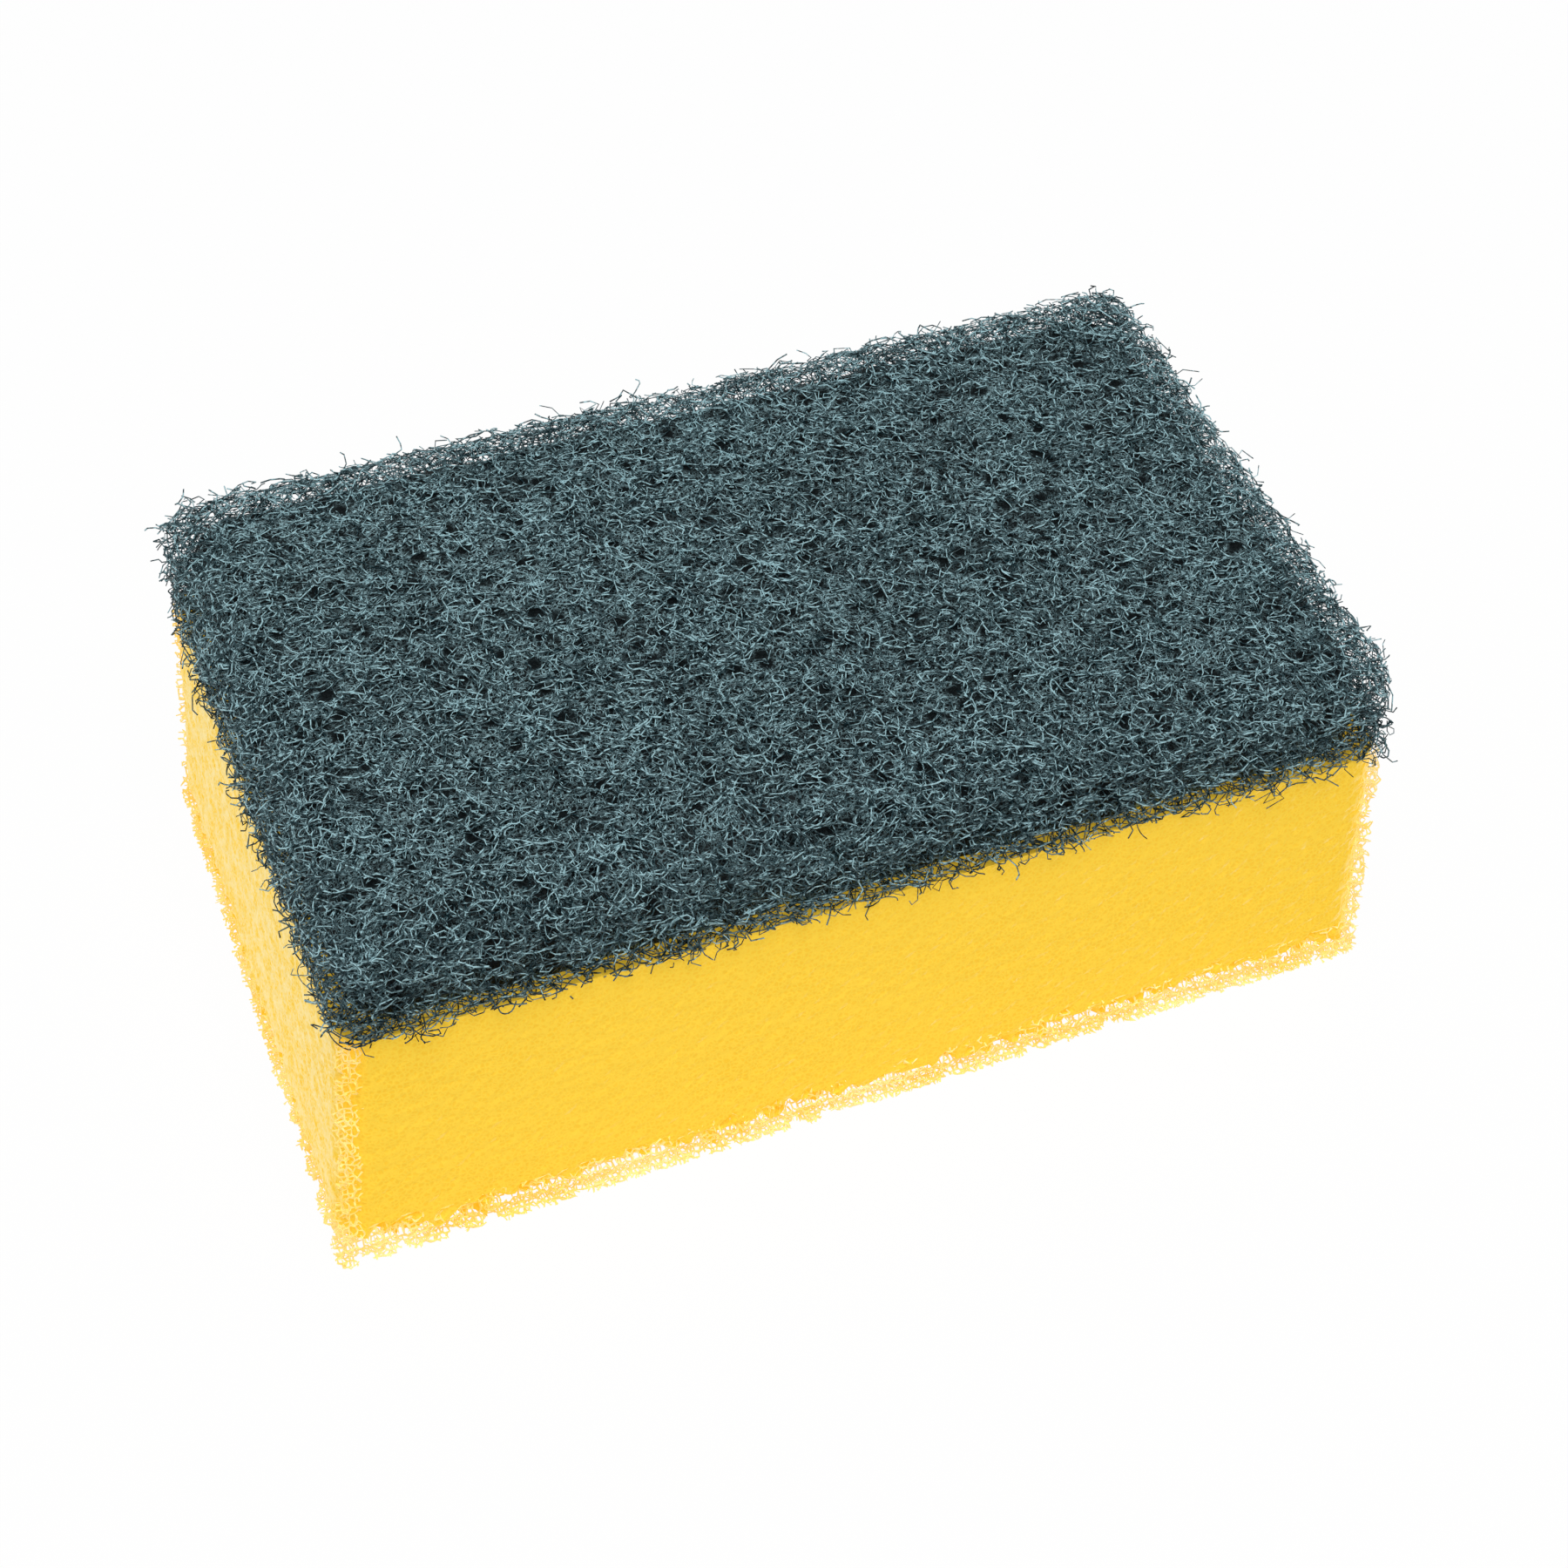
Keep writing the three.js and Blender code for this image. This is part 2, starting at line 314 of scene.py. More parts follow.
# The fibres: length of their straying, of their tufts and of the painted glints along them
STRAY_WAVE, TUFT, STREAK = 2.4 * MM, 2.2 * MM, 0.45 * MM

# The sizes that a fibre tree takes straight from the web's looks
WEB_SIZES = ("Run", "Curl", "Curl Pitch", "Wander", "Edge Radius", "Hem Rag", "Pit Spacing", "Pit Radius")

# From one fibre to the next: stretch, curl, turns of a curl in one pitch, and thickness
STRETCHES, CURLS = (0.55, 1.45), (0.35, 1.5)
TURNS, WIDTHS = (math.tau * 0.7, math.tau * 1.5), (0.75, 1.35)

# Pits: the web's by their random share, from none to large, and where on a foam cell one starts
PIT_SIZES = (0.3, 1, 0, 1.6)
PIT_RIM = 0.75

FLOAT, VECTOR, WHOLE = "NodeSocketFloat", "NodeSocketVector", "NodeSocketInt"
GEOMETRY, MATERIAL, OBJECT = "NodeSocketGeometry", "NodeSocketMaterial", "NodeSocketObject"


def strut_tree():
    """Puts one strut along each edge of a wire mesh."""
    wiring, given = geometry_tree(
        "Foam struts", {"Strut": OBJECT, "Thickness": FLOAT, "Seed": WHOLE, "Material": MATERIAL}
    )
    ends = wiring.add("GeometryNodeInputMeshEdgeVertices").outputs
    span = wiring.vector("SUBTRACT", ends["Position 2"], ends["Position 1"])
    capture = wiring.add("GeometryNodeCaptureAttribute", given["Geometry"], domain="EDGE")
    capture.capture_items.new("VECTOR", "Span")
    wiring.feed(capture.inputs["Span"], span)
    points = wiring.add("GeometryNodeMeshToPoints", capture.outputs["Geometry"], mode="EDGES").outputs[0]
    aligned = wiring.add(
        "FunctionNodeAlignRotationToVector", axis="Z", named={"Vector": capture.outputs["Span"]}
    )
    turn = wiring.add("FunctionNodeAxisAngleToRotation", (0, 0, 1), wiring.random(0, math.tau, given["Seed"]))
    rotation = wiring.add(
        "FunctionNodeRotateRotation", aligned.outputs[0], turn.outputs[0], rotation_space="LOCAL"
    )
    thickness = wiring.times(given["Thickness"], wiring.random(0.75, 1.3, given["Seed"]))
    scale = wiring.joined(thickness, thickness, wiring.vector("LENGTH", capture.outputs["Span"]))
    shape = wiring.add("GeometryNodeObjectInfo", given["Strut"]).outputs["Geometry"]
    return close_tree(wiring, wiring.copies(points, shape, rotation.outputs[0], scale), given["Material"])


def skin_tree():
    """Sinks a pit into a surface for each cut cell."""
    wiring, given = geometry_tree("Foam skin", {"Cell": FLOAT, "Pit Depth": FLOAT, "Material": MATERIAL})
    position = wiring.add("GeometryNodeInputPosition").outputs[0]
    normal = wiring.add("GeometryNodeInputNormal").outputs[0]
    scale = wiring.math("DIVIDE", 1, given["Cell"])
    cells = wiring.add("ShaderNodeTexVoronoi", named={"Vector": position, "Scale": scale}).outputs["Distance"]
    hollow = wiring.math("MINIMUM", wiring.minus(cells, PIT_RIM), 0)
    sink = wiring.times(hollow, given["Pit Depth"])
    moved = wiring.add(
        "GeometryNodeSetPosition", given["Geometry"], named={"Offset": wiring.scaled(normal, sink)}
    ).outputs[0]
    return close_tree(wiring, moved, given["Material"])


def in_block(wiring, point, given, stand_out):
    """The point drawn back into the web's rounded block, so that a fibre runs along its faces."""
    x, y, z = wiring.parts(point)
    flat = wiring.joined(x, y, 0)
    rag = wiring.noise(flat, HEM_WAVE, 1.5)
    rise = wiring.times(given["Hem Rag"], HEM_GAIN)
    hem = wiring.math("MULTIPLY_ADD", wiring.minus(rag, HEM_MEAN), rise, given["Hem Height"])
    below = wiring.math("MULTIPLY_ADD", wiring.minus(z, hem), HEM_SQUEEZE, hem)
    lifted = wiring.math("MAXIMUM", z, below)
    point = wiring.joined(x, y, lifted)
    edge = given["Edge Radius"]
    edges = wiring.joined(edge, edge, edge)
    low = wiring.vector("ADD", given["Low Corner"], edges)
    high = wiring.vector("SUBTRACT", given["High Corner"], edges)
    core_x, core_y, _ = wiring.parts(wiring.vector("MINIMUM", wiring.vector("MAXIMUM", point, low), high))
    core_z = wiring.math("MINIMUM", lifted, wiring.parts(high)[2])
    core = wiring.joined(core_x, core_y, core_z)
    reach = wiring.vector("SUBTRACT", point, core)
    length = wiring.vector("LENGTH", reach)
    beyond = wiring.math("MAXIMUM", wiring.minus(length, edge), 0)
    kept = wiring.math("MULTIPLY_ADD", beyond, stand_out, wiring.math("MINIMUM", length, edge))
    return wiring.vector("ADD", core, wiring.scaled(wiring.vector("NORMALIZE", reach), kept))


def round_pits(wiring, point, given):
    """The point pushed sideways out of the nearest open pit."""
    x, y, z = wiring.parts(point)
    flat = wiring.joined(x, y, 0)
    scale = wiring.math("DIVIDE", 1, given["Pit Spacing"])
    nearest = wiring.add(
        "ShaderNodeTexVoronoi", voronoi_dimensions="2D", named={"Vector": flat, "Scale": scale}
    )
    centre = wiring.scaled(nearest.outputs["Position"], given["Pit Spacing"])
    share = wiring.parts(nearest.outputs["Color"])[0]
    radius = wiring.times(given["Pit Radius"], wiring.mapped(share, *PIT_SIZES))
    away = wiring.vector("SUBTRACT", flat, centre)
    push = wiring.math("MAXIMUM", wiring.minus(radius, wiring.vector("LENGTH", away)), 0)
    return wiring.vector("ADD", point, wiring.scaled(wiring.vector("NORMALIZE", away), push))


def fibre_tree():
    """Grows curled fibres in a layer under a surface."""
    floats = ("Density", "Thickness", "Shallowest", "Deepest", "Tilt", "Stand Out", "Hem Height", *WEB_SIZES)
    sockets = dict.fromkeys(floats, FLOAT) | dict.fromkeys(("Low Corner", "High Corner"), VECTOR)
    sockets |= {"Points": WHOLE, "Seed": WHOLE, "Material": MATERIAL}
    wiring, given = geometry_tree("Curled fibres", sockets)
    seed = given["Seed"]

    def chance(low, high, draw, of=None):
        """One of the layer's random numbers: for each start point, or for each fibre."""
        return wiring.random(low, high, wiring.math("ADD", seed, draw), of)

    thinning = wiring.add("GeometryNodeInputNamedAttribute", "thinning", data_type="FLOAT").outputs[0]
    density = wiring.times(given["Density"], thinning)
    spread = wiring.add(
        "GeometryNodeDistributePointsOnFaces",
        given["Geometry"],
        distribute_method="RANDOM",
        named={"Density": density, "Seed": seed},
    ).outputs
    depth = wiring.random(given["Shallowest"], given["Deepest"], seed)
    inward = wiring.scaled(spread["Normal"], wiring.times(depth, -1))
    seeds = wiring.add("GeometryNodeSetPosition", spread["Points"], named={"Offset": inward}).outputs[0]
    half = wiring.times(given["Run"], 0.5)
    start, end = wiring.joined(wiring.times(half, -1), 0, 0), wiring.joined(half, 0, 0)
    line = wiring.add("GeometryNodeCurvePrimitiveLine", start, end).outputs[0]
    line = wiring.add("GeometryNodeResampleCurve", line, named={"Count": given["Points"]}).outputs[0]
    tilt = chance(wiring.times(given["Tilt"], -1), given["Tilt"], 1)
    turn = chance(0, math.tau, 2)
    rotation = wiring.add("FunctionNodeEulerToRotation", wiring.joined(0, tilt, turn)).outputs[0]
    stretch = chance(*STRETCHES, 3)
    lines = wiring.copies(seeds, line, rotation, wiring.joined(stretch, 1, 1))
    lines = wiring.add("GeometryNodeRealizeInstances", lines).outputs[0]

    fibre = wiring.add("GeometryNodeCurveOfPoint").outputs["Curve Index"]
    along = wiring.add("GeometryNodeSplineParameter").outputs["Length"]
    position = wiring.add("GeometryNodeInputPosition").outputs[0]
    tangent = wiring.add("GeometryNodeInputTangent").outputs[0]
    sideways = wiring.vector("NORMALIZE", wiring.vector("CROSS_PRODUCT", tangent, (0, 0, 1)))
    upwards = wiring.vector("CROSS_PRODUCT", sideways, tangent)
    turns = wiring.math("DIVIDE", along, given["Curl Pitch"])
    rate = chance(*TURNS, 4, fibre)
    hand = wiring.math("SIGN", chance(-1, 1, 5, fibre))
    phase = chance(0, math.tau, 6, fibre)
    angle = wiring.math("MULTIPLY_ADD", turns, wiring.times(rate, hand), phase)
    curl = wiring.times(given["Curl"], chance(*CURLS, 7, fibre))
    ahead = wiring.scaled(tangent, wiring.times(curl, wiring.math("SINE", angle)))
    aside = wiring.scaled(sideways, wiring.times(curl, wiring.math("COSINE", angle)))
    second = wiring.math("MULTIPLY_ADD", angle, 0.83, wiring.times(phase, 1.7))
    lift = wiring.times(wiring.times(curl, 0.45), wiring.math("SINE", second))
    above = wiring.scaled(upwards, lift)
    stray = wiring.add(
        "ShaderNodeTexNoise",
        noise_dimensions="4D",
        named={"Vector": position, "W": wiring.times(fibre, 0.37), "Scale": 1 / STRAY_WAVE, "Detail": 1},
    ).outputs["Color"]
    stray = wiring.vector("MULTIPLY", wiring.vector("SUBTRACT", stray, (0.5, 0.5, 0.5)), (2, 2, 1))
    point = wiring.vector("ADD", position, wiring.scaled(stray, wiring.times(given["Wander"], 2)))
    for offset in (ahead, aside, above):
        point = wiring.vector("ADD", point, offset)
    loose = wiring.math("POWER", chance(0, 1, 10, fibre), 7)
    tufted = wiring.mapped(wiring.noise(position, TUFT, 1), 0.5, 0.7, 0, 0.7)
    stand_out = wiring.mapped(wiring.math("MAXIMUM", loose, tufted), 0, 1, given["Stand Out"], 1)
    point = in_block(wiring, round_pits(wiring, point, given), given, stand_out)
    curled = wiring.add("GeometryNodeSetPosition", lines, named={"Position": point}).outputs[0]

    width = wiring.times(wiring.times(given["Thickness"], 0.5), chance(*WIDTHS, 8, fibre))
    tone = chance(0, 1, 9, fibre)
    curled = wiring.add(
        "GeometryNodeStoreNamedAttribute",
        curled,
        data_type="FLOAT",
        domain="POINT",
        named={"Name": "tone", "Value": tone},
    ).outputs[0]
    section = wiring.add("GeometryNodeCurvePrimitiveCircle", named={"Resolution": 3, "Radius": 1}).outputs[0]
    fibres = wiring.add(
        "GeometryNodeCurveToMesh", curled, section, named={"Scale": width, "Fill Caps": True}
    ).outputs[0]
    fibres = wiring.add("GeometryNodeSetShadeSmooth", fibres).outputs[0]
    return close_tree(wiring, fibres, given["Material"])


# Materials


def shader_group(name, inputs, outputs):
    return new_tree(name, "ShaderNodeTree", dict.fromkeys(inputs, FLOAT), dict.fromkeys(outputs, FLOAT))


def foam_cell_group():
    """The walls of the cut cells as lines over the surface, with soft patches of shade."""
    if "Foam cells" in bpy.data.node_groups:
        return bpy.data.node_groups["Foam cells"]
    wiring, given = shader_group("Foam cells", ("Cell", "Line"), ("Walls", "Patches"))
    place = wiring.place()
    scale = wiring.math("DIVIDE", 1, given["Cell"])
    waves = {"Vector": place, "Scale": scale, "Detail": 1}
    bent = wiring.add("ShaderNodeTexNoise", named=waves).outputs["Color"]
    bend = wiring.scaled(wiring.vector("SUBTRACT", bent, (0.5, 0.5, 0.5)), wiring.times(given["Cell"], 0.7))
    bent = wiring.vector("ADD", place, bend)
    edge = wiring.add(
        "ShaderNodeTexVoronoi", feature="DISTANCE_TO_EDGE", named={"Vector": bent, "Scale": scale}
    ).outputs["Distance"]
    walls = wiring.mapped(edge, 0, given["Line"], 1, 0, interpolation_type="SMOOTHSTEP")
    patches = wiring.noise(place, 9 * MM, 3)
    wiring.add("NodeGroupOutput", walls, patches)
    return wiring.tree


def tangle_group():
    """Curled lines over a surface: the level lines of three smooth noises."""
    if "Tangle" in bpy.data.node_groups:
        return bpy.data.node_groups["Tangle"]
    wiring, given = shader_group("Tangle", ("Loop", "Line"), ("Lines", "Height"))
    place = wiring.place()
    scale = wiring.math("DIVIDE", 1, given["Loop"])
    lines = height = 0
    for layer in range(3):
        shifted = wiring.vector("ADD", place, (0.031 * layer, 0.017 * layer, 0.023 * layer))
        waves = {"Vector": shifted, "Scale": scale, "Detail": 1.2}
        field = wiring.add("ShaderNodeTexNoise", named=waves).outputs[0]
        off = wiring.math("ABSOLUTE", wiring.minus(field, 0.5))
        line = wiring.mapped(off, 0, given["Line"], 1, 0, interpolation_type="SMOOTHSTEP")
        lines = wiring.math("MAXIMUM", lines, wiring.times(line, 1 - 0.3 * layer))
        height = wiring.math("ADD", height, line)
    wiring.add("NodeGroupOutput", lines, height)
    return wiring.tree


# How strongly the foam glows, a painted glow with more of it at a glancing view, how strongly the floor
# glows, and the floor's own white
FOAM_PAINTED_GLOW, GLANCING_PAINTED_GLOW = 0.28, 0.16
FLOOR_GLOW, FLOOR_WHITE = 0.97, 0.9


def new_material(name, roughness, specular):
    """A material with one Principled BSDF, its wiring, and the shader."""
    material = bpy.data.materials.new(name)
    material.use_nodes = True
    shader = material.node_tree.nodes["Principled BSDF"]
    shader.inputs["Roughness"].default_value = roughness
    shader.inputs["Specular IOR Level"].default_value = specular
    return material, Wiring(material.node_tree), shader


def blend_colours(wiring, factor, low, high):
    node = wiring.add("ShaderNodeMix", data_type="RGBA")
    wiring.feed(node.inputs["Factor"], factor)
    for socket, colour in zip((node.inputs[6], node.inputs[7]), (low, high)):
        wiring.feed(socket, colour if isinstance(colour, bpy.types.NodeSocket) else (*colour, 1))
    return node.outputs[2]


def with_painted_glow(material, wiring, shader, colour, strength):
    """The colour, also given off as a painted glow: the foam glows though it is no lamp, in place of the
    light that open foam passes on from cell to cell.
    """
    material.cycles.emission_sampling = "NONE"
    wiring.feed(shader.inputs["Base Color"], colour)
    wiring.feed(shader.inputs["Emission Color"], colour)
    wiring.feed(shader.inputs["Emission Strength"], strength)


def foam_material(looks):
    """Cut foam: warm yellow cell walls over cell bottoms darkened as painted shade, with a painted sheen that
    makes them paler at a glancing view, and a painted glow that is stronger there.
    """
    material, wiring, shader = new_material("Cut foam", roughness=0.85, specular=0.15)
    cells = wiring.group(foam_cell_group(), Cell=looks.cell * 0.34, Line=0.35)
    # Painted shade: a darker colour between the lines of the cell walls.
    colour = blend_colours(wiring, cells["Walls"], looks.cell_shade_colour, looks.wall_colour)
    softer = wiring.mapped(cells["Patches"], 0.3, 0.7, 0, 0.35)
    colour = blend_colours(wiring, softer, colour, looks.wall_colour)
    # Painted sheen: at a glancing view the colour turns towards the pale painted-light colour in patches over
    # the cell walls, and the painted glow grows there too.
    facing = wiring.add("ShaderNodeLayerWeight", named={"Blend": 0.5}).outputs["Facing"]
    glancing = wiring.mapped(facing, 0.5, 0.85, 0, 1)
    sheen_noise = wiring.noise(wiring.place(), looks.cell, 2)
    painted_sheen_mask = wiring.mapped(wiring.math("MULTIPLY_ADD", cells["Walls"], 0.3, sheen_noise), 0.45, 0.85, 0, 1)
    colour = blend_colours(wiring, wiring.times(glancing, painted_sheen_mask), colour, looks.painted_light_colour)
    with_painted_glow(material, wiring, shader, colour, wiring.math("MULTIPLY_ADD", glancing, GLANCING_PAINTED_GLOW, FOAM_PAINTED_GLOW))
    bump = wiring.add(
        "ShaderNodeBump", named={"Strength": 0.25, "Distance": 0.1 * MM, "Height": cells["Walls"]}
    )
    wiring.feed(shader.inputs["Normal"], bump.outputs[0])
    return material


def lace_material(looks):
    """Single struts of foam, a little paler than the mass in patches, with a painted glow: both are painted
    light for the light that passes through them.
    """
    material, wiring, shader = new_material("Foam struts", roughness=0.6, specular=0.3)
    cells = wiring.group(foam_cell_group(), Cell=looks.cell, Line=0.4)
    # Painted light: patches of the struts turn towards the pale painted-light colour.
    paler = wiring.mapped(cells["Patches"], 0.35, 0.65, 0.4, 1)
    colour = blend_colours(wiring, paler, looks.wall_colour, looks.painted_light_colour)
    with_painted_glow(material, wiring, shader, colour, FOAM_PAINTED_GLOW)
    return material


def core_material(looks):
    """The dense inside of the web: dark as painted shade between the fibres, with its deeper fibres as lines
    in the painted glint colour, and darkest in the pits as painted shade.
    """
    material, wiring, shader = new_material("Web core", roughness=0.6, specular=0.2)
    tangle = wiring.group(tangle_group(), Loop=0.62 * MM, Line=0.05)
    place = wiring.place()
    x, y, _ = wiring.parts(place)
    flat = {"Vector": wiring.joined(x, y, 0), "Scale": 1 / looks.pit_spacing}
    pit = wiring.add("ShaderNodeTexVoronoi", voronoi_dimensions="2D", named=flat).outputs["Distance"]
    # Painted shade: the lines fade in patches and in the pits, leaving the dark core colour.
    beside_gaps = wiring.mapped(wiring.noise(place, 1.6 * MM, 1), 0.38, 0.55, 0.2, 1)
    beside_pits = wiring.mapped(pit, 0.12, 0.3, 0, 1)
    shown = wiring.times(tangle["Lines"], wiring.times(beside_gaps, beside_pits))
    colour = blend_colours(wiring, shown, looks.core_shade_colour, looks.painted_glint_colour)
    wiring.feed(shader.inputs["Base Color"], colour)
    bump = wiring.add(
        "ShaderNodeBump", named={"Strength": 0.8, "Distance": 0.12 * MM, "Height": tangle["Height"]}
    )
    wiring.feed(shader.inputs["Normal"], bump.outputs[0])
    return material


def fibre_material(name, looks, painted_light_range):
    """Resin-coated nylon fibre: dark, with short painted glints, most of them on fibres with a high random
    tone.
    """
    material, wiring, shader = new_material(name, roughness=0.35, specular=0.35)
    tone = wiring.add("ShaderNodeAttribute", attribute_name="tone").outputs["Fac"]
    # Painted highlights: short stretches along each fibre turn to the glint colour.
    streak = wiring.noise(wiring.place(), STREAK, 1)
    glint = wiring.mapped(wiring.math("MULTIPLY_ADD", tone, 0.16, streak), 0.5, 0.68, *painted_light_range)
    colour = blend_colours(wiring, glint, looks.dark_colour, looks.painted_glint_colour)
    wiring.feed(shader.inputs["Base Color"], colour)
    return material


# Meshes


def new_object(name, vertices, faces, edges=()):
    mesh = bpy.data.meshes.new(name)
    mesh.from_pydata([tuple(v) for v in vertices], edges, faces)
    mesh.update()
    obj = bpy.data.objects.new(name, mesh)
    bpy.context.scene.collection.objects.link(obj)
    return obj


def place_piece(obj):
    """Fixes a finished piece to the scourer."""
    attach(obj, BODY)
    return obj


def unit_outline(length, width, pitch):
    """Places round a rectangle, anticlockwise from its front left corner, from -0.5 to 0.5."""
    along, across = round(length / pitch), round(width / pitch)
    front = [(i / along - 0.5, -0.5) for i in range(along)]
    right = [(0.5, i / across - 0.5) for i in range(across)]
    back = [(0.5 - i / along, 0.5) for i in range(along)]
    left = [(-0.5, 0.5 - i / across) for i in range(across)]
    return np.array(front + right + back + left)


def rounded_in(flat, inset, radius):
    """Points of the block's plain rectangle, drawn in and with rounded corners, as shares of its size."""
    size = np.array([BLOCK_LENGTH, BLOCK_WIDTH])
    inner = size / 2 - inset[:, None] - radius
    sharp = flat * size
    core = np.clip(sharp, -inner, inner)
    reach = sharp - core
    length = np.linalg.norm(reach, axis=1, keepdims=True)
    return (core + reach / np.maximum(length, 1e-9) * radius) / size


def on_foam(shares, heights):
    """Points of the foam at given shares of its length and width."""
    corners = corners_at(heights)
    u, v = shares[:, :1] + 0.5, shares[:, 1:] + 0.5
    front = corners[:, 0] * (1 - u) + corners[:, 1] * u
    back = corners[:, 3] * (1 - u) + corners[:, 2] * u
    return np.column_stack([front * (1 - v) + back * v, heights])


def ring_faces(count, first, second):
    """Faces between two rings of vertices, facing outwards when the second lies above the first."""
    return [(first + i, first + (i + 1) % count, second + (i + 1) % count, second + i) for i in range(count)]


def uneven(points, length, seed):
    """A smooth random number from about -1 to 1 at each point."""
    shift = Vector((seed, seed * 0.7, seed * 1.3))
    return np.array([noise.noise(Vector(p) / length + shift) for p in points])


def roughness(points, waves):
    """Several kinds of unevenness added up, each with its strength, length and seed."""
    return sum(strength * uneven(points, length, seed) for strength, length, seed in waves)


# The foam's skin: its waves (strength, length, seed) and how far it lies inside the CAD solid
SKIN_WAVES = ((0.4, 5 * MM, 5), (0.8, 1.3 * MM, 7))
SKIN_INSET = 0.12 * MM


def foam_skin_mesh(looks):
    """The solid mass of the foam, drawn in where the lace takes over."""
    outline = unit_outline(BLOCK_LENGTH, BLOCK_WIDTH, looks.grid)
    count = len(outline)
    levels = np.linspace(0, BOND_HEIGHT, round(BOND_HEIGHT / looks.grid) + 1)
    flat = outline * (BLOCK_LENGTH, BLOCK_WIDTH)
    vertices, faces = [], []
    for row, level in enumerate(levels):
        place = np.column_stack([flat, np.full(count, level)])
        rag = roughness(place, SKIN_WAVES)
        inset = looks.lace_depth * np.maximum(0, 1 + rag - level / looks.lace_height) + SKIN_INSET
        shares = rounded_in(outline, inset, looks.edge_radius)
        vertices.extend(on_foam(shares, np.full(count, level)))
        if row:
            faces += ring_faces(count, (row - 1) * count, row * count)
    top = (len(levels) - 1) * count
    faces += [tuple(reversed(range(count))), tuple(range(top, top + count))]
    return new_object("foam_skin", vertices, faces)


# The foam's lattice: a cell's width in whole steps, the square of an edge's length in these steps, the
# lattice's turn about each axis, its reach each way as a share of the block's length, how far a corner
# strays as a share of a cell, and the least height of a corner in strut thicknesses
KELVIN_UNIT = 4
EDGE_SQUARED = 2
LATTICE_TURN = {"X": 0.5, "Y": 0.35, "Z": 0.8}
LATTICE_REACH = 0.66
JITTER = 0.11
LOWEST_CORNER = 1.1
LACE_SEED, STRUT_SEED = 4, 8


def kelvin_cell():
    """The corners and edges of a cell with six square and eight six-sided faces."""
    signed = [itertools.product(*[(-n, n) for n in order]) for order in itertools.permutations((0, 1, 2))]
    corners = sorted(set(itertools.chain.from_iterable(signed)))
    edges = [
        (i, j)
        for i, j in itertools.combinations(range(len(corners)), 2)
        if sum((a - b) ** 2 for a, b in zip(corners[i], corners[j])) == EDGE_SQUARED
    ]
    return np.array(corners), np.array(edges)


def lace_wires(looks, keep, seed):
    """The jittered edges of packed foam cells whose middles are kept, as points and pairs of points."""
    rng = np.random.default_rng(seed)
    about_x, about_y, about_z = (Matrix.Rotation(angle, 3, axis) for axis, angle in LATTICE_TURN.items())
    turn = np.array(about_x @ about_y @ about_z)
    unit = looks.cell / KELVIN_UNIT
    reach = int(LATTICE_REACH * BLOCK_LENGTH / looks.cell)
    steps = np.arange(-reach, reach + 1)
    grid = np.stack(np.meshgrid(steps, steps, steps, indexing="ij"), axis=-1).reshape(-1, 3) * KELVIN_UNIT
    cells = np.concatenate([grid, grid + KELVIN_UNIT // 2])
    middle = np.array([*BASE_CORNERS.mean(axis=0), BOND_HEIGHT / 2])

    def placed(lattice):
        return lattice * unit @ turn.T + middle

    centres = placed(cells)
    cells = cells[keep(centres, looks.cell)]
    corners, edges = kelvin_cell()
    lattice = (cells[:, None] + corners[None]).reshape(-1, 3)
    lattice, where = np.unique(lattice, axis=0, return_inverse=True)
    where = where.reshape(len(cells), len(corners))
    pairs = np.unique(np.sort(where[:, edges].reshape(-1, 2), axis=1), axis=0)
    points = placed(lattice) + rng.uniform(-JITTER, JITTER, lattice.shape) * looks.cell
    points[:, 2] = np.maximum(points[:, 2], LOWEST_CORNER * looks.strut)
    pairs = pairs[keep(points[pairs].mean(axis=1), 0)]
    used, renamed = np.unique(pairs, return_inverse=True)
    return points[used], renamed.reshape(-1, 2)


# The lace: depth and length of its tears, its corner radius, how near the web it ends, how far it
# reaches into the solid mass, and where it shows: below a height, and where the mass lies this deep
TEAR_DEPTH, TEAR_WAVE = 1.8 * MM, 1.7 * MM
LACE_CORNER = 1 * MM
LACE_TOP_GAP = 0.3 * MM
LACE_ROOT = 0.45 * MM
LACE_BAND = 1.3
LACE_GAP = 0.3 * MM


def lace_region(looks):
    """A test for places in the foam's lacy edges: a thin shell of open cells with torn ones outside."""

    def keep(points, slack):
        inside = (points[:, 2] > looks.strut - slack) & (points[:, 2] < BOND_HEIGHT - LACE_TOP_GAP + slack)
        torn = TEAR_DEPTH * np.maximum(0, uneven(points, TEAR_WAVE, 3)) if slack == 0 else 0
        outer = outside_by(points, 0, LACE_CORNER)
        fade = np.maximum(0, 1 - points[:, 2] / looks.lace_height)
        mass = outside_by(points, looks.lace_depth * fade, looks.edge_radius)
        near_edge = (points[:, 2] < LACE_BAND * looks.lace_height) | (mass - outer > LACE_GAP)
        shell = (outer > -looks.lace_shell - slack) & (mass > -LACE_ROOT - slack)
        return inside & near_edge & (outer + torn < slack) & shell

    return keep


def strut_shape():
    """A closed sliver along +Z with crossed ends, half a unit each way."""
    half = 0.5
    vertices = [(-half, 0, -half), (half, 0, -half), (0, -half, half), (0, half, half)]
    return new_object("strut_shape", vertices, [(0, 1, 3), (0, 2, 1), (0, 3, 2), (1, 2, 3)])


# The web: the height of its mat without the standing strands, its least corner radius, the steps
# of its rounded edge, the height over which the hem's inset fades, and the spacing of the vertices on
# the surface that the fibres grow from
MAT_TOP = 38 * MM
LEAST_CORNER = 0.3 * MM
EDGE_STEPS = 4
HEM_FADE = 1 * MM
GUIDE_PITCH = 1.5 * MM

